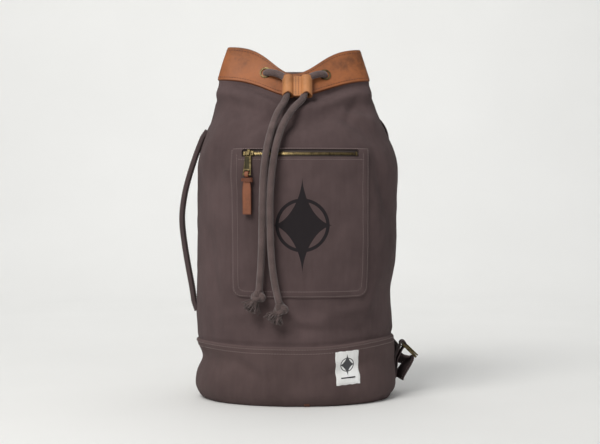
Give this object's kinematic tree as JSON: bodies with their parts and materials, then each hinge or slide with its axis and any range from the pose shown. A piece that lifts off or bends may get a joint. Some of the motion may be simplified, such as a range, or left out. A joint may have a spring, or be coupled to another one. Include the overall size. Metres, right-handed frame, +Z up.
{
  "type": "duffle backpack",
  "caption": "Canvas bucket backpack with a leather collar, drawcord and cord lock, zipped front pocket, side handle and two buckled shoulder straps.",
  "frame": {"origin": "centre of the underside, on the surface the bag stands on", "axes": "+Z up, the front pocket faces -Y, +X to the right as seen from the front"},
  "size_m": [0.3365, 0.2693, 0.4868],
  "materials": {
    "canvas": "matte cotton canvas",
    "strap_canvas": "matte cotton webbing",
    "leather": "waxed tan leather",
    "lock_leather": "waxed tan leather",
    "rope": "braided cotton cord",
    "brass": "antique satin",
    "tape": "woven zip tape",
    "label": "woven label",
    "lining": "plain cotton",
    "board": "fibreboard"
  },
  "bodies": {
    "bag": {"band_back_panel": "canvas", "band_front_panel": "canvas", "base_panel": "canvas", "base_stiffener": "board", "base_tab": "leather", "body_back_panel": "canvas", "body_front_panel": "canvas", "body_lining": "lining", "collar_back": "leather", "collar_facing_back": "leather", "collar_facing_front": "leather", "collar_front": "leather", "cord_lock_back": "lock_leather", "cord_lock_front": "lock_leather", "drawcord_held": "rope", "drawcord_left_tail": "rope", "drawcord_right_tail": "rope", "eyelet_washers": "brass", "handle_bottom_end": "strap_canvas", "handle_top_end": "strap_canvas", "label": "label", "left_eyelet": "brass", "left_tail_fray": "rope", "left_tail_knot": "rope", "lower_tab_left": "strap_canvas", "lower_tab_right": "strap_canvas", "pocket_back": "lining", "pocket_panel": "canvas", "right_eyelet": "brass", "right_tail_fray": "rope", "right_tail_knot": "rope", "shoulder_strap_left": "strap_canvas", "shoulder_strap_right": "strap_canvas", "strap_tail_left": "strap_canvas", "strap_tail_right": "strap_canvas", "zip_stops": "brass", "zip_tape_lower": "tape", "zip_tape_upper": "tape", "zip_teeth_lower": "brass", "zip_teeth_upper": "brass"},
    "zip_slider": {"zip_slider": "brass"},
    "zip_puller": {"zip_puller": "brass"},
    "pull_tab": {"pull_tab": "leather", "pull_tab_wrap": "leather"},
    "handle": {"handle_grip": "strap_canvas"},
    "buckle_left": {"buckle_frame_left": "brass"},
    "buckle_right": {"buckle_frame_right": "brass"},
    "prong_left": {"buckle_prong_left": "brass"},
    "prong_right": {"buckle_prong_right": "brass"}
  },
  "joints": [
    {"name": "zip_slide", "type": "hinge", "parent": "bag", "child": "zip_slider", "pos_m": [-0.0005, 0.05781, 0.338], "axis": [0, 0, 1], "range_deg": [0, 46.8]},
    {"name": "puller_swing", "type": "hinge", "parent": "zip_slider", "child": "zip_puller", "pos_m": [-0.06397, -0.1023, 0.33948], "axis": [-0.9296, 0.3685, 0], "range_deg": [0, 100]},
    {"name": "tab_swing", "type": "hinge", "parent": "zip_puller", "child": "pull_tab", "pos_m": [-0.06642, -0.10849, 0.31124], "axis": [-0.9296, 0.3685, 0], "range_deg": [0, 25]},
    {"name": "handle_swing", "type": "hinge", "parent": "bag", "child": "handle", "pos_m": [-0.144, 0, 0.128], "axis": [0.0614, 0, 0.9981], "range_deg": [-25, 25]},
    {"name": "buckle_left_swing", "type": "hinge", "parent": "bag", "child": "buckle_left", "pos_m": [-0.11402, 0.08627, 0.07], "axis": [0.4226, 0.9063, 0], "range_deg": [-15, 10]},
    {"name": "prong_left_swing", "type": "hinge", "parent": "buckle_left", "child": "prong_left", "pos_m": [-0.11402, 0.08627, 0.07], "axis": [0.4226, 0.9063, 0], "range_deg": [0, 80]},
    {"name": "buckle_right_swing", "type": "hinge", "parent": "bag", "child": "buckle_right", "pos_m": [0.15, 0.03, 0.07], "axis": [0, -1, 0], "range_deg": [-15, 40]},
    {"name": "prong_right_swing", "type": "hinge", "parent": "buckle_right", "child": "prong_right", "pos_m": [0.15, 0.03, 0.07], "axis": [0, -1, 0], "range_deg": [0, 80]}
  ]
}
